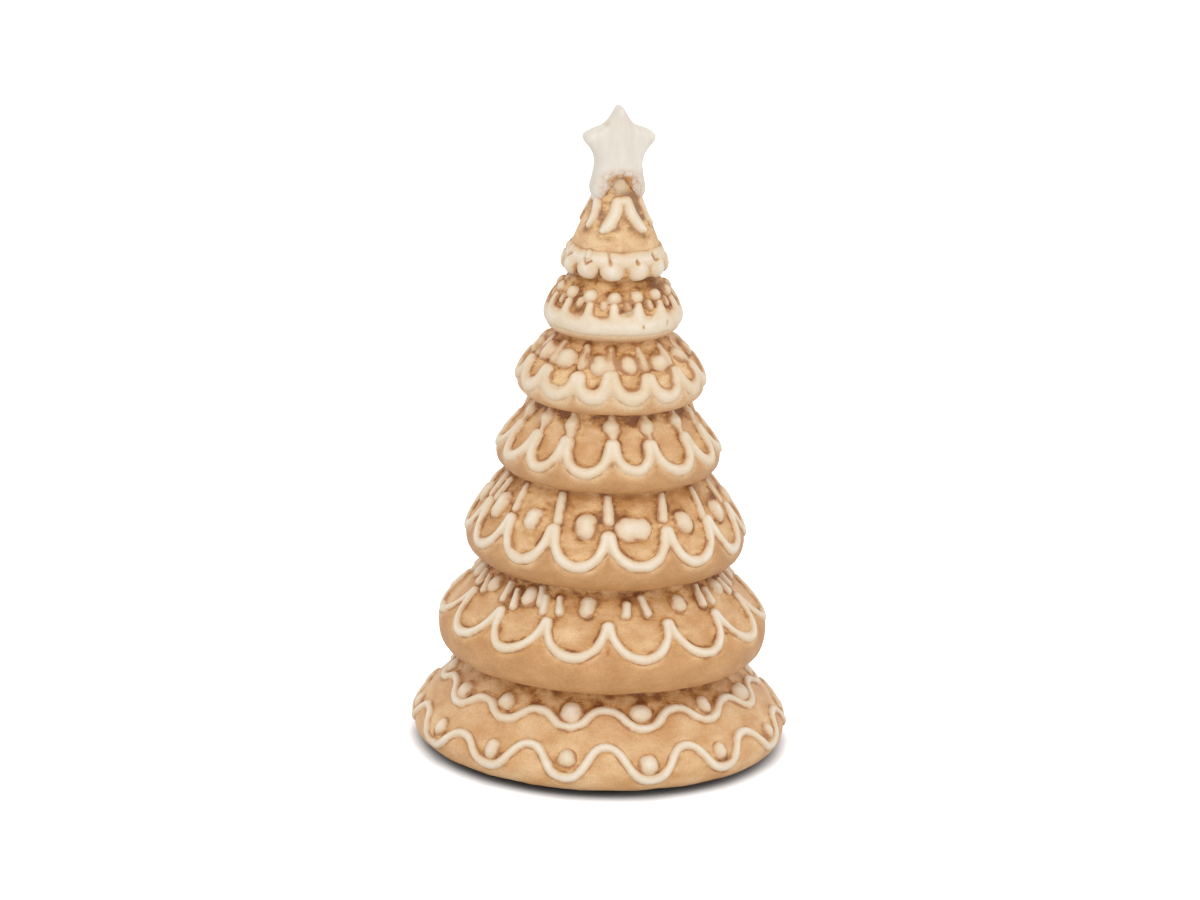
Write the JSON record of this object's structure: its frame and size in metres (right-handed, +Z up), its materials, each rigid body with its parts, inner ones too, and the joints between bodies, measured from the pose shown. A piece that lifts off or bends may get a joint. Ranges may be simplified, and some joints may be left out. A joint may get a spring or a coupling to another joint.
{
  "type": "gingerbread christmas tree",
  "caption": "Table ornament shaped as a stack of rounded gingerbread tiers, trimmed with piped icing waves, swags and dots, with a star on top and a felt pad under its base.",
  "frame": {"origin": "centre of the felt pad's underside, on the surface that the tree stands on", "axes": "+Z up the tree's axis, -Y towards the front of the picture, +X to its right"},
  "size_m": [0.1036, 0.1032, 0.18],
  "materials": {
    "gingerbread": null,
    "icing": null,
    "felt": null
  },
  "bodies": {
    "root": {"base_tier": "gingerbread", "second_tier": "gingerbread", "third_tier": "gingerbread", "fourth_tier": "gingerbread", "fifth_tier": "gingerbread", "sixth_tier": "gingerbread", "peak_tier": "gingerbread", "base_lower_wave": "icing", "base_upper_wave": "icing", "second_tier_garland": "icing", "third_tier_garland": "icing", "fourth_tier_garland": "icing", "fifth_tier_garland": "icing", "sixth_tier_band": "icing", "peak_garland": "icing", "peak_chevron_1": "icing", "peak_chevron_2": "icing", "peak_chevron_3": "icing", "peak_chevron_4": "icing", "star_topper": "icing", "felt_pad": "felt"}
  },
  "joints": []
}
